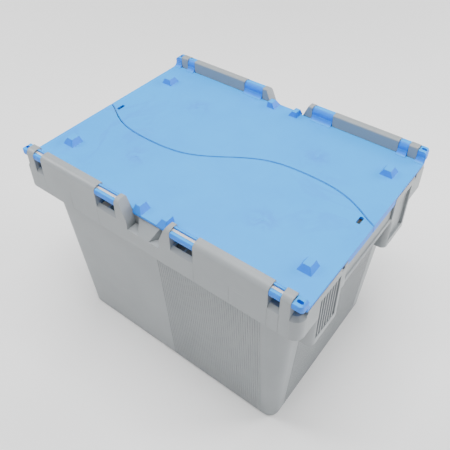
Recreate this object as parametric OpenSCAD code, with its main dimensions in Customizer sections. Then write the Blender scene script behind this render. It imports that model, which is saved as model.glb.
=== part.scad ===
// Stacking crate with two hinged lids: tapered tub, rim frame, hinge rods and lids.
// Lengths in millimetres. X runs along the crate, Y across it, Z up from the ground.

/* [Crate] */
// Overall length, outside the end rims
length = 400; // [340:10:600]
// Overall width, outside the hinge rims
width = 300; // [260:10:400]
// Overall height, to the top of the hinge rails
height = 294; // [220:2:420]
// Wall thickness of the tub, rims and housings
wall = 2.5; // [2:0.1:3]
// Lean of the tub walls from upright, in degrees
draft = 3.6; // [2:0.1:5]

/* [Tub] */
// Width of the rim box along the hinged sides
rim_w = 14; // [13:0.5:18]
// Width of the rim box along the short ends
end_w = 20; // [18:0.5:30]
// Height of the rim skirt below the window sills
skirt_h = 34; // [24:1:50]
// Corner radius of the tub at its mouth
mouth_r = 22; // [12:1:30]
// Corner radius of the tub at the ground
foot_r = 14; // [8:1:20]
// Thickness of the floor
floor_t = 3; // [2:0.5:5]
// Height of the ribs under the floor
base_rib_h = 3; // [2:0.5:6]
// Spacing of the ribs under the floor
base_rib_pitch = 55; // [40:5:90]
// Pitch of the fine upright ribs on the walls
flute_pitch = 3.2; // [2.8:0.1:6]
// How far the fine ribs stand out
flute_h = 0.7; // [0.4:0.1:1]

/* [Hinges] */
// Radius of the rounded hinge rail
rail_r = 7; // [6.6:0.1:9]
// Radius of the hinge rods
rod_r = 4.4; // [3:0.1:5]
// Radial clearance of a rod in its rail
rod_seat = 0.05; // [0.02:0.01:0.1]
// Radial clearance of a lid hook on its rod
hook_run = 0.1; // [0.05:0.01:0.2]
// Length of the wide hinge windows
wide_w = 31; // [20:1:44]
// Distance from the middle to the centre of a wide window
wide_x = 55.7; // [52:0.1:70]
// Length of the narrow hinge windows
narrow_w = 13.4; // [8:0.2:18]
// Distance from the end to the centre of a narrow window
narrow_in = 30.2; // [26:0.2:40]
// Length of the lowered corners
corner_l = 12; // [10:0.5:16]
// Half length of the lowered middle of a hinge rim
gap_half = 24; // [18:1:28]
// Depth from the rail top down to the window sills
sill_drop = 24; // [20:0.5:30]
// Depth from the rail top down to the pocket floors
pocket_drop = 37; // [30:0.5:44]

/* [Lids] */
// Thickness of the lid plates
lid_t = 3; // [2:0.1:4]
// Depth of the lid tops below the rail tops
lid_drop = 17; // [16:0.5:20]
// Swing of the curved split from the middle line
wave = 34; // [10:1:40]
// Width of the split between the lids
split_gap = 1.2; // [1.1:0.1:2]
// Height of the stacking lugs
lug_h = 8; // [4:0.5:8]
// Depth of the lid skirt at the ends
lip_h = 11; // [6:0.5:12]
// Gap between a lid and the parts around it
fit = 0.4; // [0.3:0.1:0.8]

/* [Hand grips] */
// Half width of the grip opening
grip_half = 58; // [45:1:70]
// Width of each housing beside a grip
housing_w = 59; // [45:1:64]
// How far the housings hang below the skirt
housing_drop = 46; // [30:1:60]

/* [Hidden] */
grey = [0.66, 0.68, 0.69];
pale_grey = [0.80, 0.79, 0.77];
blue = [0.35, 0.68, 0.98];
fine = 64;
hull_fn = 32;
cut = 1;

half_l = length / 2;
half_w = width / 2;
mouth_x = half_l - end_w;            // outside of the tub's collar
mouth_y = half_w - rim_w;
rail_y = half_w - rail_r;            // hinge axis
rail_z = height - rail_r;
sill_z = height - sill_drop;
skirt_z = sill_z - skirt_h;          // lower edge of the skirt
pocket_z = height - pocket_drop;
lid_top = height - lid_drop;
lid_low = lid_top - lid_t;
collar_top = lid_low - 0.5;          // the lids rest just above the collar
foot_in = skirt_z * tan(draft);
foot_x = mouth_x - foot_in;
foot_y = mouth_y - foot_in;
foot_edge = 3;                       // bevel round the foot
corner_r = 12;
block_x = half_l - corner_l;         // end of the outer rail block
narrow_x = half_l - narrow_in;
chamfer = 4;
peak_w = 6;                          // flat top of a rail's inner end
seat_l = 5;                          // length of the inner seat of a rod
end_wall = 2.5;
panel_d = 3.5;                       // depth of the panels in the housings
neck_t = 1.9;                        // thickness of a hook's neck
hook_rise = 4;                       // top of a hook's outer leg above the axis
tag_x = half_l - 17;                 // slot for a seal tag
tag_y = -1;

function outline_x(z) = foot_x + z * tan(draft);
function outline_y(z) = foot_y + z * tan(draft);

// ---------- shapes used by several parts ----------

// Rectangle with round corners, half sizes hx and hy
module round_rect(hx, hy, r) {
    square([2 * hx - 2 * r, 2 * hy], center = true);
    square([2 * hx, 2 * hy - 2 * r], center = true);
    for (sx = [-1, 1], sy = [-1, 1])
        translate([sx * (hx - r), sy * (hy - r)]) circle(r, $fn = fine);
}

// Upright-walled block in the plan of a rounded rectangle
module round_block(hx, hy, r, z0, z1) {
    translate([0, 0, z0]) linear_extrude(z1 - z0) round_rect(hx, hy, r);
}

// Leaning block with round corners; inset makes the inner surface of a shell
module leaning_block(z0, z1, inset = 0) {
    share = (z1 - z0) / skirt_z;
    r0 = foot_r + (mouth_r - foot_r) * z0 / skirt_z;
    r1 = r0 + (mouth_r - foot_r) * share;
    hull() {
        for (step = [[z0, r0], [z1, r1]])
            for (sx = [-1, 1], sy = [-1, 1])
                translate([sx * (outline_x(step[0]) - step[1]),
                           sy * (outline_y(step[0]) - step[1]), step[0]])
                    cylinder(r = step[1] - inset, h = 0.001, $fn = hull_fn);
    }
}

// Box given by two opposite corners
module box(lo, hi) {
    translate(lo) cube(hi - lo);
}

// Bar along X with a cross-section drawn as [y, z]
module along_x(x0, x1) {
    translate([x0, 0, 0]) rotate([90, 0, 90]) linear_extrude(x1 - x0) children();
}

// Bar along Y with a cross-section drawn as [x, z]
module along_y(y0, y1) {
    translate([0, y1, 0]) rotate([90, 0, 0]) linear_extrude(y1 - y0) children();
}

// ---------- tub ----------

module tub_outside() {
    leaning_block(foot_edge, skirt_z);
    hull() {
        for (sx = [-1, 1], sy = [-1, 1])
            translate([sx * (foot_x - foot_r), sy * (foot_y - foot_r), 0])
                cylinder(r1 = foot_r - 1.5, r2 = foot_r + foot_edge * tan(draft), h = foot_edge,
                         $fn = hull_fn);
    }
}

// Fine upright ribs on the wall that faces -Y, between x0 and x1
module flutes(x0, x1, face) {
    root = 0.3;                      // how deep the ribs start inside the wall
    flat = 0.42;                     // share of the pitch on top of a rib
    side = 0.16;
    n = floor((x1 - x0) / flute_pitch);
    top = (skirt_z - 0.5) / cos(draft);
    translate([x0, -face, 0]) rotate([draft, 0, 0])
        translate([0, 0, 2 * foot_edge]) linear_extrude(top - 2 * foot_edge)
            polygon(concat([[0, 2 * root]], [for (i = [0:n - 1], step = [
                    [0, root], [side, -flute_h], [side + flat, -flute_h], [2 * side + flat, root]])
                [(i + step[0]) * flute_pitch, step[1]]], [[n * flute_pitch, 2 * root]]));
}

// Ribs of one end wall, clear of the housings above them
module end_flutes() {
    half = foot_y - 26;
    difference() {
        rotate([0, 0, 90]) flutes(-half, half, foot_x);
        for (sy = [-1, 1])
            translate([foot_x - cut, sy * (grip_half + housing_w / 2) - housing_w / 2 - 1,
                       skirt_z - housing_drop - 0.5])
                cube([2 * end_w, housing_w + 2, height]);
    }
}

module base_ribs() {
    nx = floor((foot_x - foot_r) / base_rib_pitch);
    ny = floor((foot_y - foot_r) / base_rib_pitch);
    for (i = [-nx:nx])
        box([i * base_rib_pitch - 1.5, -foot_y + 10, 0],
            [i * base_rib_pitch + 1.5, foot_y - 10, base_rib_h + cut]);
    for (j = [-ny:ny])
        box([-foot_x + 10, j * base_rib_pitch - 1.5, 0],
            [foot_x - 10, j * base_rib_pitch + 1.5, base_rib_h + cut]);
}

module tub() color(grey) {
    floor_z = base_rib_h + floor_t;
    difference() {
        union() {
            tub_outside();
            for (turn = [0, 180]) rotate([0, 0, turn]) {
                flutes(0, foot_x - 15, foot_y);
                end_flutes();
            }
            round_block(mouth_x, mouth_y, mouth_r, skirt_z, collar_top);
        }
        leaning_block(floor_z, skirt_z, wall);
        round_block(mouth_x - wall, mouth_y - wall, mouth_r - wall, skirt_z - 0.01,
                    collar_top + cut);
        for (turn = [0, 180]) rotate([0, 0, turn])
            box([-15, -foot_y - cut, -cut], [8, -foot_y + 2.5, foot_edge + 0.5]);
        difference() {
            round_block(foot_x - 9, foot_y - 9, foot_r - 6, -cut, base_rib_h);
            base_ribs();
        }
    }
}

// ---------- hinge rims ----------

// Round on the outside, squarer towards the lid
module rail_section() {
    edge_r = 2.2;
    translate([-rail_y, rail_z]) {
        circle(rail_r, $fn = fine);
        square([rail_y - mouth_y - edge_r, rail_r]);
        square([rail_y - mouth_y, rail_r - edge_r]);
    }
    translate([-mouth_y - edge_r, height - edge_r]) circle(edge_r, $fn = fine);
    translate([-half_w, skirt_z]) square([rim_w, rail_z - skirt_z]);
}

// Hollow under a stretch of rim, open at the bottom
module rim_hollow(x0, x1, top) {
    box([x0, -half_w + wall, skirt_z - cut], [x1, -mouth_y + cut, top]);
}

module rail_stretch(x0, x1, start = end_wall) {
    roof = rail_z - rod_r - wall;
    difference() {
        along_x(x0, x1) rail_section();
        box([x0 + start, -half_w + wall, sill_z - wall - cut],
            [x1 - end_wall, -half_w + rim_w - wall, roof]);
    }
}

module window_stretch(x0, x1) {
    along_x(x0, x1)
        polygon([[-half_w, skirt_z], [-mouth_y, skirt_z], [-mouth_y, sill_z],
                 [-half_w + chamfer, sill_z], [-half_w, sill_z - chamfer - 1]]);
}

// Ramp block in the lowered middle
module ramp() {
    foot = 8;
    top = 16.5;
    intersection() {
        along_x(-top, top)
            polygon([[-half_w, skirt_z + cut], [-mouth_y, skirt_z + cut],
                     [-mouth_y, collar_top], [-mouth_y - 1, collar_top], [-half_w, pocket_z]]);
        translate([0, 0, pocket_z - wall])
            linear_extrude(height)
                polygon([[-foot, -half_w], [foot, -half_w], [top, -mouth_y], [-top, -mouth_y]]);
    }
}

module half_rim() {
    mouth_l = 2;
    line_w = 0.7;
    line_d = 0.15;
    wide_0 = wide_x - wide_w / 2;
    wide_1 = wide_x + wide_w / 2;
    narrow_0 = narrow_x - narrow_w / 2;
    narrow_1 = narrow_x + narrow_w / 2;
    slope = atan((height - sill_z) / (wide_0 - peak_w - gap_half));
    difference() {
        union() {
            rail_stretch(gap_half, wide_0, 8);
            window_stretch(wide_0, wide_1);
            rail_stretch(wide_1, narrow_0);
            window_stretch(narrow_0, narrow_1);
            rail_stretch(narrow_1, block_x);
        }
        // inner end slopes down to the middle
        translate([gap_half, -half_w - cut, sill_z])
            rotate([0, -slope, 0])
                translate([-60, 0, 0]) cube([150, rim_w + 2 * cut, 60]);
        translate([wide_0 - seat_l, -rail_y, rail_z]) rotate([0, 90, 0])
            cylinder(r = rod_r + rod_seat, h = block_x, $fn = fine);
        // wider mouth of the bore at each window
        for (x = [wide_0, wide_1, narrow_0, narrow_1, block_x])
            translate([x - mouth_l, -rail_y, rail_z]) rotate([0, 90, 0])
                cylinder(r = rod_r + 1.2, h = 2 * mouth_l, $fn = fine);
        rim_hollow(gap_half + end_wall, block_x - end_wall, sill_z - wall);
        // the wide window is open to the hollow below
        box([wide_0 + wall, -half_w + chamfer + fit, sill_z - wall - cut],
            [wide_1 - wall, -mouth_y + cut, sill_z + cut]);
        // fine parting lines on the skirt
        for (x = [wide_1, (wide_1 + narrow_0) / 2, narrow_0, narrow_1])
            box([x - line_w / 2, -half_w - cut, skirt_z + 2],
                [x + line_w / 2, -half_w + line_d, sill_z - chamfer - 2]);
    }
    // webs that tie the skirt to the tub
    for (x = [wide_0 - peak_w / 2, (wide_1 + narrow_0) / 2, narrow_0 - 4])
        box([x - 1, -half_w + wall, skirt_z + 4], [x + 1, -mouth_y, sill_z - wall]);
    box([wide_x - 1, -half_w + wall, skirt_z + 4], [wide_x + 1, -mouth_y, sill_z - 1]);
}

module long_rim() color(grey) {
    half_rim();
    mirror([1, 0, 0]) half_rim();
    difference() {
        box([-gap_half, -half_w, skirt_z], [gap_half, -mouth_y, pocket_z]);
        rim_hollow(-gap_half - cut, gap_half + cut, pocket_z - wall);
    }
    ramp();
}

// ---------- end rims ----------

module corner_plan(outer = 0) {
    difference() {
        round_rect(half_l - outer, half_w - outer, corner_r - outer);
        round_rect(mouth_x, mouth_y, mouth_r);
        square([2 * (mouth_x - mouth_r), 2 * width], center = true);
        for (sy = [-1, 1]) translate([0, sy * half_w])
            square([2 * block_x, 2 * rim_w], center = true);
        translate([-2 * length, -width]) square([2 * length, 2 * width]);
    }
}

// Hollow under the deck, with a web where it meets a hinge rim
module hollow_plan() {
    difference() {
        corner_plan(wall);
        for (sy = [-1, 1]) translate([block_x, sy * half_w])
            square([2 * end_wall, 2 * rim_w], center = true);
    }
}

// Bevel round the outside of a lowered corner
module corner_bevel() {
    steep = 1.25;
    translate([half_l - corner_r, half_w - corner_r, sill_z]) rotate_extrude(angle = 90, $fn = fine)
        polygon([[corner_r - chamfer, 0], [corner_r + cut, -steep * (chamfer + cut)],
                 [corner_r + cut, cut], [corner_r - chamfer, cut]]);
}

// One hand-grip housing between y0 and y1
module housing(y0, y1) {
    low = skirt_z - housing_drop;
    post_r = 8;
    difference() {
        intersection() {
            box([mouth_x - end_w, y0, low], [half_l, y1, collar_top]);
            translate([0, (y0 + y1) / 2, low]) linear_extrude(height)
                round_rect(half_l, (y1 - y0) / 2, post_r);
        }
        translate([0, (y0 + y1) / 2, low - cut])
            linear_extrude(collar_top - wall - low + cut)
                round_rect(half_l - 2 * wall - 1, (y1 - y0) / 2 - wall, post_r - wall);
        leaning_block(foot_edge, skirt_z);
        round_block(mouth_x, mouth_y, mouth_r, skirt_z - 0.01, height);
    }
}

module panel_cut(y0, y1) {
    margin = 6.5;
    box([half_l - panel_d, y0 + margin, skirt_z - housing_drop + 9],
        [half_l + cut, y1 - margin - 5, collar_top - 11]);
}

module panel_ribs(y0, y1) {
    count = 7;
    pitch = (y1 - y0 - 18) / count;
    for (i = [1:count - 1])
        box([half_l - panel_d - 0.2, y0 + 6.5 + i * pitch - 0.9, skirt_z - housing_drop + 8],
            [half_l - 0.6, y0 + 6.5 + i * pitch + 0.9, collar_top - 10]);
}

module end_rim() color(grey) {
    bar_x = half_l - 2.7;
    lip_z = skirt_z + 2;
    lip_r = 2.2;
    out = grip_half + housing_w;
    near = [-out, -grip_half];
    far = [grip_half, out];
    difference() {
        union() {
            // skirt and deck round the end
            difference() {
                translate([0, 0, skirt_z]) linear_extrude(collar_top - skirt_z) corner_plan();
                translate([0, 0, skirt_z - cut])
                    linear_extrude(sill_z - wall - skirt_z + cut) hollow_plan();
                translate([0, 0, sill_z - wall - cut])
                    linear_extrude(collar_top - sill_z + cut) intersection() {
                        hollow_plan();
                        square([2 * length, 2 * (mouth_y - wall)], center = true);
                    }
                box([mouth_x - mouth_r, -grip_half, skirt_z - cut],
                    [half_l + cut, grip_half, collar_top - wall]);
            }
            housing(near[0], near[1]);
            housing(far[0], far[1]);
            // grip bar with its lip
            box([bar_x - wall, -grip_half, lip_z], [bar_x, grip_half, collar_top]);
            along_y(-grip_half, grip_half) {
                translate([bar_x - wall, lip_z]) square([half_l - lip_r - bar_x + wall, 2 * lip_r]);
                translate([half_l - lip_r, lip_z + lip_r]) circle(lip_r, $fn = fine);
            }
        }
        // the deck in front of the grip bar makes room for the lid skirt
        box([bar_x, -grip_half, lip_z + 3 * lip_r], [half_l + cut, grip_half, height]);
        panel_cut(near[0], near[1]);
        panel_cut(far[0], far[1]);
        // lowered corners
        for (sy = [-1, 1])
            box([mouth_x - mouth_r, sy > 0 ? mouth_y : -half_w - cut, sill_z],
                [half_l + cut, sy > 0 ? half_w + cut : -mouth_y, height]);
        corner_bevel();
        mirror([0, 1, 0]) corner_bevel();
        // slot for a seal tag, and finger notches under the lid edge
        translate([tag_x, tag_y, collar_top - wall - cut]) linear_extrude(wall + 2 * cut)
            round_rect(3, 7, 1.6);
        for (y = [-grip_half - 12, half_w - 41])
            box([half_l - 5, y, collar_top - 5.5], [half_l + cut, y + 6, collar_top + cut]);
    }
    panel_ribs(near[0], near[1]);
}

// ---------- rods ----------

module rod() color(pale_grey) {
    x0 = wide_x - wide_w / 2 - seat_l + fit;
    translate([x0, -rail_y, rail_z]) rotate([0, 90, 0])
        cylinder(r = rod_r, h = block_x - fit - x0, $fn = fine);
}

// ---------- lids ----------

// The curved split: y of the middle of the gap at x
function split_y(x) = let (end = half_l - 3, turn = 180 * max(-1, min(1, x / end)))
    wave * (sin(turn) + 0.08 * sin(3 * turn));

module lid_plan(gap) {
    edge = half_l - 0.5;
    back = mouth_y - fit;
    round = 3;
    steps = 40;
    tongue_x = gap_half - 1.5;
    tongue_y = mouth_y + 3;
    polygon(concat(
        [[-edge, round - back], [0.3 * round - edge, 0.3 * round - back], [round - edge, -back],
         [-tongue_x - 2, -back], [-tongue_x, -tongue_y], [tongue_x, -tongue_y],
         [tongue_x + 2, -back], [edge - round, -back],
         [edge - 0.3 * round, 0.3 * round - back], [edge, round - back]],
        [for (i = [0:steps]) let (x = edge - 2 * edge * i / steps)
            [x, split_y(x) - gap / 2]]));
}

// Block with sloping sides; lean is how far each side leans in: -x, +x, -y, +y
module lug(lo, hi, lean) {
    intersection() {
        along_x(lo[0], hi[0]) polygon([[lo[1], lid_low + 1], [hi[1], lid_low + 1], [hi[1], lid_top],
            [hi[1] - lean[3], lid_top + lug_h], [lo[1] + lean[2], lid_top + lug_h],
            [lo[1], lid_top]]);
        along_y(lo[1], hi[1]) polygon([[lo[0], lid_low + 1], [hi[0], lid_low + 1], [hi[0], lid_top],
            [hi[0] - lean[1], lid_top + lug_h], [lo[0] + lean[0], lid_top + lug_h],
            [lo[0], lid_top]]);
    }
}

// Neck that rises from a lid to the hinge axis, with a hollow curve at its foot
module neck_section() {
    flare = 6;
    lift = 0.4;
    arm_h = 3;
    translate([-mouth_y - neck_t, lid_low]) square([neck_t - fit, rail_z - lid_low]);
    difference() {
        translate([-mouth_y - neck_t, lid_low]) square([neck_t - fit + flare, lid_t + flare]);
        translate([-mouth_y - fit + flare + lift, lid_top + flare + lift])
            circle(flare, $fn = fine);
    }
    translate([rod_r + hook_run - rail_y, rail_z - arm_h])
        square([rail_y - mouth_y - fit - rod_r - hook_run, arm_h]);
}

// Hook open at the top; its inner leg closes over the rod
module hook_section() {
    difference() {
        union() {
            translate([-rail_y, rail_z]) circle(rail_r, $fn = fine);
            neck_section();
        }
        translate([-rail_y, rail_z]) circle(rod_r + hook_run, $fn = fine);
        translate([-half_w - cut, rail_z + hook_rise]) square([rail_r + cut + 1, rail_r]);
    }
}

module hook(x, w) {
    along_x(x - w / 2 + fit, x + w / 2 - fit) hook_section();
}

// Rounded knuckle that closes the corner, with a small well in its top
module knuckle() {
    x0 = block_x + fit;
    x1 = half_l - 0.5;
    well_r = 2;
    side_r = 4.5;
    deep = -mouth_y + rim_w;
    intersection() {
        along_x(x0, x1) difference() {
            union() {
                translate([-rail_y, rail_z]) circle(rail_r, $fn = fine);
                translate([-rail_y, rail_z - rail_r])
                    square([rail_y - mouth_y - fit, 2 * rail_r]);
                neck_section();
            }
            translate([-half_w - cut, rail_z + hook_rise]) square([rim_w + 4, rail_r]);
        }
        along_y(-half_w - cut, deep) {
            translate([x0 - cut, lid_low - cut])
                square([x1 - side_r - x0 + cut, height - lid_low + cut]);
            translate([x0 - cut, lid_low - cut])
                square([x1 - x0 + cut, rail_z + hook_rise - side_r - lid_low + cut]);
            translate([x1 - side_r, rail_z + hook_rise - side_r]) circle(side_r, $fn = fine);
        }
        translate([0, 0, lid_low - cut]) linear_extrude(height) {
            translate([x0 - cut, -rail_y]) square([x1 - x0 + cut, rail_y + deep]);
            translate([x0 - cut, -half_w]) square([x1 - rail_r - x0 + cut, rail_r]);
            translate([x1 - rail_r, -rail_y]) circle(rail_r, $fn = fine);
        }
        // all but the well
        difference() {
            box([x0 - cut, -half_w - cut, lid_low - cut], [half_l, deep, height]);
            for (x = [x0 + 1.8 + well_r, x1 - 2.2 - well_r]) translate([x, -rail_y, rail_z - 2])
                cylinder(r = well_r, h = rail_r, $fn = fine);
            box([x0 + 1.8 + well_r, -rail_y - well_r, rail_z - 2],
                [x1 - 2.2 - well_r, -rail_y + well_r, height + cut]);
        }
    }
}

module lid_half() {
    hook(wide_x, wide_w);
    hook(narrow_x, narrow_w);
    knuckle();
}

module lid_skirt(side) {
    inner = split_gap / 2;
    x0 = half_l - 0.5 - 1.9;
    mirror([side < 0 ? 1 : 0, 0, 0]) along_x(x0, x0 + 1.9)
        polygon([[-grip_half + fit, lid_top], [-inner, lid_top],
                 [-inner - 0.5, lid_top - lip_h], [-grip_half + fit, lid_top - lip_h]]);
}

// Stiffening ribs under a lid, kept clear of the split and of the tub's mouth
module lid_ribs() {
    inset = 4;
    low = lid_low - 4;
    rib = 2;
    x1 = mouth_x - wall - inset;
    y1 = mouth_y - wall - inset;
    r1 = mouth_r - wall - inset;
    intersection() {
        union() {
            difference() {
                round_block(x1, y1, r1, low, lid_low + cut);
                round_block(x1 - rib, y1 - rib, r1 - rib, low - cut, lid_low + 2 * cut);
            }
            for (share = [-0.75:0.25:0.75])
                box([share * x1 - rib / 2, -y1, low], [share * x1 + rib / 2, y1, lid_low + cut]);
        }
        translate([0, 0, low]) linear_extrude(2 * lid_t + cut) lid_plan(16);
    }
}

module lid() color(blue) {
    lug_x = 173;
    lug_y = 92.5;
    difference() {
        union() {
            translate([0, 0, lid_low]) linear_extrude(lid_t - 1) lid_plan(split_gap);
            translate([0, 0, lid_top - 1]) linear_extrude(1) lid_plan(2 * split_gap);
            lid_half();
            mirror([1, 0, 0]) lid_half();
            lid_skirt(1);
            lid_skirt(-1);
            lid_ribs();
            for (sx = [-1, 1]) {
                lug([sx * lug_x - 8.5, -lug_y - 9, 0], [sx * lug_x + 8.5, -lug_y + 9, 0],
                    [4, 4, 4.5, 2]);
                lug([sx > 0 ? 11.2 : -24, -mouth_y - 2.8, 0], [sx > 0 ? 24 : -11.2, -mouth_y + 13, 0],
                    [sx > 0 ? 5 : 1, sx > 0 ? 1 : 5, 4.5, 1]);
            }
        }
        translate([tag_x, tag_y, lid_low - cut]) linear_extrude(lid_t + 2 * cut)
            round_rect(2.5, 6, 1.6);
    }
}

tub();
long_rim();  // front_rim
rotate([0, 0, 180]) long_rim();  // back_rim
end_rim();  // right_rim
rotate([0, 0, 180]) end_rim();  // left_rim
rod();  // front_right_rod
mirror([1, 0, 0]) rod();  // front_left_rod
rotate([0, 0, 180]) rod();  // back_left_rod
mirror([0, 1, 0]) rod();  // back_right_rod
lid();  // front_lid
rotate([0, 0, 180]) lid();  // back_lid
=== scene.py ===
"""Looks of a stacking crate with two hinged lids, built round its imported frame.

Lengths are metres. X runs along the crate, Y across it, Z up from the ground.
"""
import logging
import math
from dataclasses import dataclass
from enum import Enum

import bmesh
import bpy
import numpy as np
from mathutils import Matrix, Vector


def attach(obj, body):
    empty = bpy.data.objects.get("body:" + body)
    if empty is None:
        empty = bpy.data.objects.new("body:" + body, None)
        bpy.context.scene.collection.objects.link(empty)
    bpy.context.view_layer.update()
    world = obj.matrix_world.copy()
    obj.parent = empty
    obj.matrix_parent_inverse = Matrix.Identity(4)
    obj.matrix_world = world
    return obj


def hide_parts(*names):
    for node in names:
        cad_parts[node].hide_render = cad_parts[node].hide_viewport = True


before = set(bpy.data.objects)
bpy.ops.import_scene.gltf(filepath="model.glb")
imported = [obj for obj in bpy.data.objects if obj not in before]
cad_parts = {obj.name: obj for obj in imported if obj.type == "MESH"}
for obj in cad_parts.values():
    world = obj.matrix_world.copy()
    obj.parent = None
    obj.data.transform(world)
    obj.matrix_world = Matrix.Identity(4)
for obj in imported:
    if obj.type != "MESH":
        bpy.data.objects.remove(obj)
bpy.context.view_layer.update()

MM = 0.001
Triple = tuple[float, float, float]
log = logging.getLogger("crate")


class Body(str, Enum):
    """The rigid groups that pieces ride on."""

    CRATE = "crate"
    FRONT_LID = "front_lid"
    BACK_LID = "back_lid"


class Slot(str, Enum):
    """The record's material slots."""

    CRATE = "crate_grey"
    ROD = "rod_grey"
    LID = "lid_blue"


# ---------------------------------------------------------------- shader maths


class Signal:
    """A shader socket that grows Math nodes when it is added, subtracted or multiplied."""

    def __init__(self, graph: "Graph", socket: bpy.types.NodeSocket) -> None:
        """Keeps the socket and the graph it belongs to."""
        self.graph = graph
        self.socket = socket

    def _math(self, operation: str, *values: "Signal | float") -> "Signal":
        """One Math node on one or two values or signals."""
        return self.graph.node("ShaderNodeMath", {"operation": operation},
                               dict(enumerate(values)))

    def __add__(self, other: "Signal | float") -> "Signal":
        """self + other."""
        return self._math("ADD", self, other)

    def __sub__(self, other: "Signal | float") -> "Signal":
        """self - other."""
        return self._math("SUBTRACT", self, other)

    def __rsub__(self, other: "Signal | float") -> "Signal":
        """other - self."""
        return self._math("SUBTRACT", other, self)

    def __mul__(self, other: "Signal | float") -> "Signal":
        """self * other."""
        return self._math("MULTIPLY", self, other)

    __radd__ = __add__
    __rmul__ = __mul__

    def clipped(self) -> "Signal":
        """The signal held between 0 and 1."""
        clamp = self._math("ADD", self, 0.0)
        clamp.socket.node.use_clamp = True
        return clamp

    def least(self, other: "Signal | float") -> "Signal":
        """The smaller of self and other."""
        return self._math("MINIMUM", self, other)

    def size(self) -> "Signal":
        """The signal without its sign."""
        return self._math("ABSOLUTE", self)

    def ramp(self, low: float, high: float) -> "Signal":
        """Maps low..high smoothly onto 0..1."""
        return self.graph.node("ShaderNodeMapRange", {"interpolation_type": "SMOOTHSTEP"},
                               {"Value": self, "From Min": low, "From Max": high})


class Graph:
    """A node tree, with one method that makes any node."""

    def __init__(self, tree: bpy.types.NodeTree) -> None:
        """Keeps the tree that its nodes go into."""
        self.tree = tree

    def node(self, kind: str, settings: dict | None = None, inputs: dict | None = None,
             output: str | int = 0) -> Signal:
        """Makes one node.

        Args:
            kind: Blender's type name for the node.
            settings: Properties that are set before its sockets.
            inputs: Values or signals by socket name or number.
            output: The socket that the result stands for.

        Returns:
            The chosen output as a signal.
        """
        made = self.tree.nodes.new(kind)
        for key, value in (settings or {}).items():
            setattr(made, key, value)
        for key, value in (inputs or {}).items():
            self.feed(made.inputs[key], value)
        return Signal(self, made.outputs[output])

    def feed(self, socket: bpy.types.NodeSocket, value: "Signal | float | tuple") -> None:
        """Gives a socket its link or value.

        Args:
            socket: The socket.
            value: A signal to link, or the socket's own value.
        """
        if isinstance(value, Signal):
            self.tree.links.new(value.socket, socket)
        else:
            socket.default_value = value

    def place(self, scale: Triple = (1, 1, 1), turn: float = 0.0) -> Signal:
        """Object coordinates, turned and then scaled axis by axis.

        Args:
            scale: Factor along each axis.
            turn: Turn about Z in radians.

        Returns:
            The coordinates.
        """
        where = self.node("ShaderNodeTexCoord", output="Object")
        return self.node("ShaderNodeMapping", {}, {"Vector": where, "Scale": scale,
                                                   "Rotation": (0, 0, turn)})

    def vector(self, operation: str, first: Signal, second: Signal | Triple = (0, 0, 0),
               output: str | int = "Value") -> Signal:
        """One Vector Math node, read as a number unless another output is named."""
        return self.node("ShaderNodeVectorMath", {"operation": operation},
                         {0: first, 1: second}, output)

    def noise(self, where: Signal, scale: float, detail: float = 2.0,
              rough: float = 0.5, bend: float = 0.0) -> Signal:
        """Smooth noise.

        Args:
            where: Coordinates that it is read at.
            scale: About how many cells it has in a metre.
            detail: How many finer layers it has.
            rough: How strong the finer layers are.
            bend: How far it is drawn into swirls.

        Returns:
            The noise, 0 to 1 and mostly near 0.5.
        """
        return self.node("ShaderNodeTexNoise", {}, {"Vector": where, "Scale": scale,
                                                    "Detail": detail, "Roughness": rough,
                                                    "Distortion": bend})

    def bump(self, strength: float, distance: float, height: Signal, normal: Signal) -> Signal:
        """Tilts a normal by a height pattern that is distance metres deep."""
        return self.node("ShaderNodeBump", {}, {"Strength": strength, "Distance": distance,
                                                "Height": height, "Normal": normal})

    def mix(self, share: Signal, first: Signal | Triple, second: Signal | Triple) -> Signal:
        """Mixes two colours.

        Args:
            share: Share of the second colour, 0 to 1.
            first: The first colour.
            second: The second colour.

        Returns:
            The mixed colour.
        """
        made = self.node("ShaderNodeMix", {"data_type": "RGBA"}, {}, 2).socket.node
        for index, value in ((0, share), (6, first), (7, second)):
            self.feed(made.inputs[index], (*value, 1) if isinstance(value, tuple) else value)
        return Signal(self, made.outputs[2])


class Surface(Graph):
    """A material's node tree round a Principled shader."""

    def __init__(self, name: str) -> None:
        """Starts the material with its shader and its output.

        Args:
            name: Name of the material.
        """
        self.material = bpy.data.materials.new(name)
        self.material.use_nodes = True
        super().__init__(self.material.node_tree)
        self.tree.nodes.clear()
        self.shader = self.tree.nodes.new("ShaderNodeBsdfPrincipled")
        output = self.tree.nodes.new("ShaderNodeOutputMaterial")
        self.tree.links.new(self.shader.outputs["BSDF"], output.inputs["Surface"])

    def set(self, **inputs: "Signal | float | tuple") -> None:
        """Feeds the Principled shader; an underscore stands for a space."""
        for key, value in inputs.items():
            self.feed(self.shader.inputs[key.replace("_", " ")], value)


# ---------------------------------------------------------------- finishes


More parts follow.
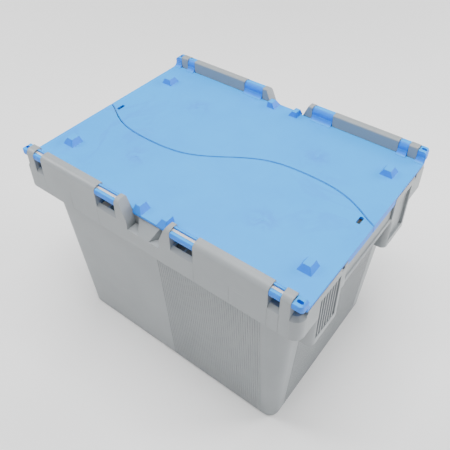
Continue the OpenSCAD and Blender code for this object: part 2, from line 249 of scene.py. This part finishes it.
@dataclass(frozen=True)
class MouldedPlastic:
    """A moulded polypropylene finish with a fine matt texture and light wear.

    Scales are cells of a pattern in a metre, and colours are linear.

    Attributes:
        name: Name of the material.
        colour: Main colour.
        shade: Colour where the plastic is a little darker or dirtier.
        worn: Colour of rubbed edges and scuffs.
        roughness: Roughness of the clean surface.
        scuffs: How strongly scuffs and scratches show, 0 to 1.
        edge: How strongly rubbed edges show, 0 to 1.
        gloss: Specular level, 0.5 for plain plastic.
        round: Radius of its rounded edges in metres.
        painted_side_shade: Painted shade: a deeper colour on faces that stand on edge, so they
            look less lit than level faces, or None for one colour all round.
        gates: X and Y of the points where the melt ran into the mould.
        flow: Colour of the swirls that the melt left.
        grain: Scale of the moulded texture.
        grain_depth: Depth of the moulded texture in metres.
        clouds: Scale of the slow drift between the main colour and the shade.
        patches: Scale of the patches that hold scratches.
        scratch: Scale along a scratch, and twice across it.
        scratch_turns: Turns about Z of the two sets of scratches, in radians.
        rubs: Scale that breaks up the rubbed edges.
        sinks: Scale of the slow waviness of a moulded wall.
        sink_depth: Depth of that waviness in metres.
        gate_marks: Distances from a gate between which its smears fade, in metres.
        gate_rim: Distances from a gate between which its dimple ends, in metres.
        gate_depth: Depth of the dimple in metres.
    """

    name: str
    colour: Triple
    shade: Triple
    worn: Triple
    roughness: float
    scuffs: float
    edge: float
    gloss: float = 0.5
    round: float = 1.0 * MM
    painted_side_shade: Triple | None = None
    gates: tuple[tuple[float, float], ...] = ()
    flow: Triple = (0.0, 0.0, 0.0)
    grain: float = 1500.0
    grain_depth: float = 0.04 * MM
    clouds: float = 11.0
    patches: float = 17.0
    scratch: Triple = (18, 620, 620)
    scratch_turns: tuple[float, float] = (0.5, -0.9)
    rubs: float = 60.0
    sinks: float = 14.0
    sink_depth: float = 0.5 * MM
    gate_marks: tuple[float, float] = (2.0 * MM, 26.0 * MM)
    gate_rim: tuple[float, float] = (0.8 * MM, 2.2 * MM)
    gate_depth: float = 0.6 * MM

    def build(self) -> bpy.types.Material:
        """Builds the material.

        The base colour drifts by cloudy noise, faces on edge get painted shade, a deeper colour
        that makes them look less lit, and swirls lie over both. Wear is scratches and rubbed
        edges together.

        Returns:
            The material.
        """
        g = Surface(self.name)
        where = g.place()
        clouds = g.noise(where, self.clouds, 4.0, 0.6)
        speck = g.noise(where, self.grain * 0.5, 2.0)
        base = g.mix(clouds.ramp(0.35, 0.75), self.colour, self.shade)
        # painted shade: faces that stand on edge take a deeper colour, so they look less lit than
        # level faces
        if self.painted_side_shade:
            base = g.mix(self._level(g).ramp(0.75, 0.97), self.painted_side_shade, base)
        if self.gates:
            base = g.mix(self._swirls(g, where), base, self.flow)

        scratch = self._scratches(g, where)
        rounded = g.node("ShaderNodeBevel", {"samples": 6}, {"Radius": self.round})
        wear = (scratch * self.scuffs + self._rubs(g, where, rounded) * self.edge).clipped()
        g.set(Base_Color=g.mix(wear, base, self.worn),
              Roughness=(self.roughness + clouds * 0.10 - wear * 0.08 + speck * 0.06).clipped(),
              Specular_IOR_Level=self.gloss,
              Normal=self._relief(g, where, scratch, rounded))
        return g.material

    def _level(self, g: Surface) -> Signal:
        """How level the surface lies in the piece's own frame: 1 flat, 0 on edge."""
        facing = g.node("ShaderNodeTexCoord", output="Normal")
        return g.vector("DOT_PRODUCT", facing, (0, 0, 1)).size()

    def _scratches(self, g: Surface, where: Signal) -> Signal:
        """Thin broken lines along two directions, only inside patches.

        A line is where noise that is drawn out along one direction passes a level.

        Args:
            g: The material's nodes.
            where: Object coordinates.

        Returns:
            1 on a scratch, 0 off it.
        """
        patch = g.noise(where, self.patches, 3.0).ramp(0.5, 0.68)
        first, second = (g.noise(g.place(self.scratch, turn), 1.0, 2.0).ramp(0.64, 0.72) * patch
                         for turn in self.scratch_turns)
        return first + second

    def _rubs(self, g: Surface, where: Signal, rounded: Signal) -> Signal:
        """Rubbed edges: where a rounded normal leaves the true one, broken up by noise.

        Args:
            g: The material's nodes.
            where: Object coordinates.
            rounded: The normal with rounded edges.

        Returns:
            1 on a rubbed edge, 0 off it.
        """
        normal = g.node("ShaderNodeNewGeometry", output="Normal")
        along = g.vector("DOT_PRODUCT", rounded, normal)
        return (1 - along).ramp(0.01, 0.16) * g.noise(where, self.rubs, 4.0).ramp(0.35, 0.65)

    def _gate_distance(self, g: Surface, where: Signal) -> Signal:
        """Distance to the nearest gate, measured flat.

        Args:
            g: The material's nodes.
            where: Object coordinates.

        Returns:
            The distance in metres.
        """
        flat = g.vector("MULTIPLY", where, (1, 1, 0), output=0)
        nearest, *others = (g.vector("DISTANCE", flat, (x, y, 0)) for x, y in self.gates)
        for gap in others:
            nearest = nearest.least(gap)
        return nearest

    def _swirls(self, g: Surface, where: Signal) -> Signal:
        """Faint swirls that the melt left, strongest round the gates.

        A swirl is where a strongly bent noise crosses its middle value, so it is a thin
        winding vein; a slow noise fades the veins out in patches.

        Args:
            g: The material's nodes.
            where: Object coordinates.

        Returns:
            How strongly the swirls show, 0 to 1.
        """
        bent = g.noise(where, 9.0, 3.0, 0.55, 1.6)
        veins = 1 - (bent - 0.5).size().ramp(0.0, 0.06)
        close = 1 - self._gate_distance(g, where).ramp(*self.gate_marks)
        smear = g.noise(where, 70.0, 3.0, 0.6, 0.8).ramp(0.38, 0.62)
        fade = g.noise(where, 5.0, 1.0).ramp(0.40, 0.62)
        return (veins * fade * 0.45 + close * smear * 0.9).clipped()

    def _relief(self, g: Surface, where: Signal, scratch: Signal, rounded: Signal) -> Signal:
        """Moulded grain, gate dimples and a slow waviness on the rounded normal.

        Args:
            g: The material's nodes.
            where: Object coordinates.
            scratch: Where scratches cut into the grain.
            rounded: The normal with rounded edges.

        Returns:
            The normal of the finished surface.
        """
        grain = g.noise(where, self.grain, 2.0) - scratch * 0.4
        relief = g.bump(0.5, self.grain_depth, grain, rounded)
        if self.gates:
            dimple = self._gate_distance(g, where).ramp(*self.gate_rim)
            relief = g.bump(0.8, self.gate_depth, dimple, relief)
        return g.bump(0.3, self.sink_depth, g.noise(where, self.sinks, 1.0), relief)


class Finish(Enum):
    """The finishes of this crate."""

    CRATE = MouldedPlastic(
        "crate_grey_plastic", colour=(0.266, 0.287, 0.300), shade=(0.246, 0.268, 0.280),
        worn=(0.46, 0.47, 0.47), roughness=0.34, scuffs=0.12, edge=0.4, round=0.6 * MM)
    ROD = MouldedPlastic(
        "rod_pale_plastic", colour=(0.60, 0.585, 0.565), shade=(0.54, 0.53, 0.52),
        worn=(0.68, 0.67, 0.66), roughness=0.36, scuffs=0.2, edge=0.1)
    LID = MouldedPlastic(
        "lid_blue_plastic", colour=(0.001, 0.345, 0.90), shade=(0.001, 0.315, 0.86),
        worn=(0.08, 0.50, 0.97), roughness=0.36, scuffs=0.2, edge=0.25, gloss=0.22,
        # the deeper blue on faces that stand on edge is painted shade
        grain=1900.0, painted_side_shade=(0.001, 0.20, 0.80), flow=(0.02, 0.25, 0.80),
        gates=((-0.090, -0.066), (0.098, -0.064), (0.090, 0.066), (-0.098, 0.064)))


# ---------------------------------------------------------------- moulded pieces


@dataclass(frozen=True)
class Moulding:
    """A moulded piece: the frame's node as smooth faces that meet at true edges.

    Attributes:
        node: The frame node that the piece stands for.
        body: The body that it rides on.
        slot: The record slot of its finish; not used.
        sharp: Angle in degrees past which an edge stays sharp.
        weld: Distance in metres within which corners become one.
        flat: Angle in degrees under which neighbouring faces are joined.
        large: How much large faces decide the shading, 50 for no more than small ones.
    """

    node: str
    body: Body
    slot: Slot
    sharp: float = 32.0
    weld: float = 0.002 * MM
    flat: float = 0.5
    large: int = 90

    def build(self, finish: bpy.types.Material) -> bpy.types.Object:
        """Makes the piece and dresses it.

        Args:
            finish: The material that it wears.

        Returns:
            The piece, placed and riding on its body.
        """
        mesh = self._joined_mesh()
        piece = bpy.data.objects.new(f"{self.node}_moulding", mesh)
        bpy.context.scene.collection.objects.link(piece)
        flats = piece.modifiers.new("true flats", "WEIGHTED_NORMAL")
        flats.keep_sharp = True
        flats.weight = self.large
        mesh.materials.append(finish)
        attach(piece, self.body.value)
        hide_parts(self.node)
        return piece

    def _joined_mesh(self) -> bpy.types.Mesh:
        """Joins the node's loose triangles and merges them into flat faces.

        Returns:
            The mesh, smooth but for its sharp edges.
        """
        shell = bmesh.new()
        shell.from_mesh(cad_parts[self.node].data)
        bmesh.ops.remove_doubles(shell, verts=shell.verts, dist=self.weld)
        bmesh.ops.dissolve_limit(shell, angle_limit=math.radians(self.flat),
                                 verts=shell.verts, edges=shell.edges)
        mesh = bpy.data.meshes.new(f"{self.node}_moulding")
        shell.to_mesh(mesh)
        shell.free()
        mesh.shade_smooth()
        self._mark_sharp(mesh)
        return mesh

    def _mark_sharp(self, mesh: bpy.types.Mesh) -> None:
        """Marks each edge whose two faces turn by more than the sharp angle.

        Sorting the corners by the edge that they start puts an edge's two faces side by
        side; the edge is sharp where their normals' dot product is under the limit.

        Args:
            mesh: A closed mesh, with two faces at every edge.
        """
        corners = np.empty(len(mesh.polygons), dtype=np.int64)
        mesh.polygons.foreach_get("loop_total", corners)
        normal = np.empty(len(mesh.polygons) * 3)
        mesh.polygons.foreach_get("normal", normal)
        normal = normal.reshape(-1, 3)
        edge = np.empty(len(mesh.loops), dtype=np.int64)
        mesh.loops.foreach_get("edge_index", edge)
        face = np.repeat(np.arange(len(mesh.polygons)), corners)
        pair = face[np.argsort(edge, kind="stable")].reshape(-1, 2)
        cosine = np.einsum("ij,ij->i", normal[pair[:, 0]], normal[pair[:, 1]])
        # normals kept from the frame's triangles would override the marks
        if "custom_normal" in mesh.attributes:
            mesh.attributes.remove(mesh.attributes["custom_normal"])
        if "sharp_edge" not in mesh.attributes:
            mesh.attributes.new("sharp_edge", "BOOLEAN", "EDGE")
        mesh.attributes["sharp_edge"].data.foreach_set(
            "value", cosine < math.cos(math.radians(self.sharp)))


@dataclass(frozen=True)
class CrateBody:
    """The tub and the rims round its mouth, which are one moulding on the real crate.

    Attributes:
        nodes: The frame nodes that make it up.
        finish: What it is made of.
    """

    nodes: tuple[str, ...] = ("tub", "front_rim", "back_rim", "right_rim", "left_rim")
    finish: Finish = Finish.CRATE

    def build(self) -> list[bpy.types.Object]:
        """Builds the five pieces, in one material."""
        plastic = self.finish.value.build()
        return [Moulding(node, Body.CRATE, Slot.CRATE).build(plastic) for node in self.nodes]


@dataclass(frozen=True)
class HingeRods:
    """The four rods inside the hinge rims.

    Attributes:
        nodes: The frame nodes, one for each rod.
        finish: What they are made of.
    """

    nodes: tuple[str, ...] = ("front_left_rod", "front_right_rod",
                              "back_left_rod", "back_right_rod")
    finish: Finish = Finish.ROD

    def build(self) -> list[bpy.types.Object]:
        """Builds the four rods, in one material."""
        plastic = self.finish.value.build()
        return [Moulding(node, Body.CRATE, Slot.ROD).build(plastic) for node in self.nodes]


@dataclass(frozen=True)
class Lids:
    """The two lid halves, each on its own hinge.

    Attributes:
        nodes: The frame nodes, with the body that each one rides on.
        finish: What they are made of.
    """

    nodes: tuple[tuple[str, Body], ...] = (("front_lid", Body.FRONT_LID),
                                           ("back_lid", Body.BACK_LID))
    finish: Finish = Finish.LID

    def build(self) -> list[bpy.types.Object]:
        """Builds both halves, in one material."""
        plastic = self.finish.value.build()
        return [Moulding(node, body, Slot.LID).build(plastic) for node, body in self.nodes]


# ---------------------------------------------------------------- studio


@dataclass(frozen=True)
class Softbox:
    """A square soft light.

    Attributes:
        name: Name of the light.
        place: Its middle.
        size: Its side in metres.
        power: Its power in watts.
    """

    name: str
    place: Triple
    size: float
    power: float

    def build(self, aim: Triple) -> None:
        """Makes the light and turns it to a point.

        Args:
            aim: The point that it faces.
        """
        data = bpy.data.lights.new(self.name, "AREA")
        data.size, data.energy = self.size, self.power
        light = bpy.data.objects.new(self.name, data)
        bpy.context.scene.collection.objects.link(light)
        light.location = self.place
        towards = Vector(aim) - Vector(self.place)
        light.rotation_euler = towards.to_track_quat("-Z", "Y").to_euler()


@dataclass(frozen=True)
class Studio:
    """Floor, lights and camera.

    Attributes:
        eye: Place of the camera.
        yaw: Degrees that the camera is turned left of the crate's +Y.
        pitch: Degrees that it looks down.
        roll: Degrees that it leans.
        lens: Focal length in millimetres.
        sensor: Width of its sensor in millimetres.
        shift: Shift of the sensor, as shares of its width.
        clip: Nearest and farthest distance that it sees.
        aim: The point that the lights face.
        lights: The soft lights.
        floor_half: Half the side of the floor.
        floor_tones: The two nearly equal tones of the floor.
        glow: Distances from the crate over which the floor starts to glow.
        surround: Brightness of the surround as a light.
        backdrop: Brightness of the far floor and of the surround as they are seen.
    """

    eye: Triple = (0.3351, -0.4361, 0.7079)
    yaw: float = 36.4
    pitch: float = 40.9
    roll: float = -0.4
    lens: float = 45.38
    sensor: float = 36.0
    shift: tuple[float, float] = (-0.0222, -0.0889)
    clip: tuple[float, float] = (0.01, 20.0)
    aim: Triple = (0.0, 0.0, 0.15)
    lights: tuple[Softbox, ...] = (
        Softbox("top", (0.0, 0.0, 2.0), 1.0, 38.0),
        Softbox("top front", (0.3, -0.45, 1.6), 0.6, 6.5),
        Softbox("key", (-1.7, -0.6, 1.5), 0.8, 34.0),
        Softbox("front", (-0.5, -1.9, 0.9), 0.8, 5.0),
        Softbox("fill", (1.3, 1.4, 1.0), 1.0, 38.0),
        Softbox("side fill", (1.9, 0.1, 0.9), 1.0, 9.0),
        Softbox("rim", (-0.75, 0.95, 1.75), 0.5, 5.0))
    floor_half: float = 12.0
    floor_tones: tuple[float, float] = (0.93, 0.95)
    glow: tuple[float, float] = (0.7, 3.2)
    surround: float = 0.22
    backdrop: float = 1.5

    def build(self) -> None:
        """Makes the camera, the floor, the lights and the surround."""
        self._camera()
        self._floor()
        for light in self.lights:
            light.build(self.aim)
        self._world()

    def _camera(self) -> None:
        """Places the camera from its yaw, pitch and roll."""
        data = bpy.data.cameras.new("camera")
        data.lens, data.sensor_width = self.lens, self.sensor
        data.shift_x, data.shift_y = self.shift
        data.clip_start, data.clip_end = self.clip
        camera = bpy.data.objects.new("camera", data)
        bpy.context.scene.collection.objects.link(camera)
        turn = (Matrix.Rotation(math.radians(self.yaw), 4, "Z")
                @ Matrix.Rotation(math.radians(90 - self.pitch), 4, "X")
                @ Matrix.Rotation(math.radians(-self.roll), 4, "Z"))
        camera.matrix_world = Matrix.Translation(self.eye) @ turn
        bpy.context.scene.camera = camera

    def _floor(self) -> None:
        """A pale floor that reaches out of view and glows far away, where the lights end."""
        half = self.floor_half
        mesh = bpy.data.meshes.new("floor")
        mesh.from_pydata([(-half, -half, 0), (half, -half, 0), (half, half, 0), (-half, half, 0)],
                         [], [(0, 1, 2, 3)])
        floor = bpy.data.objects.new("floor", mesh)
        bpy.context.scene.collection.objects.link(floor)
        g = Surface("pale floor")
        where = g.place()
        dark, light = ((tone, tone, tone) for tone in self.floor_tones)
        away = g.vector("LENGTH", where)
        g.set(Base_Color=g.mix(g.noise(where, 3.0), dark, light), Roughness=0.9,
              Emission_Color=away.ramp(*self.glow) * self.backdrop, Emission_Strength=1.0)
        mesh.materials.append(g.material)

    def _world(self) -> None:
        """An even white surround: a dim one that lights, a bright one that is seen."""
        world = bpy.data.worlds.new("surround")
        bpy.context.scene.world = world
        world.use_nodes = True
        g = Graph(world.node_tree)
        back = g.tree.nodes["Background"].inputs
        seen = g.node("ShaderNodeLightPath", output="Is Camera Ray")
        g.feed(back["Color"], (1, 1, 1, 1))
        g.feed(back["Strength"], self.surround + seen * (self.backdrop - self.surround))


def main() -> None:
    """Builds the studio and every sub-assembly in order, and reports each piece."""
    logging.basicConfig(level=logging.INFO, format="%(name)s: %(message)s")
    Studio().build()
    for assembly in (CrateBody(), HingeRods(), Lids()):
        for piece in assembly.build():
            log.info("%s: %s, %d faces", type(assembly).__name__, piece.name,
                     len(piece.data.polygons))


if __name__ == "__main__":
    main()
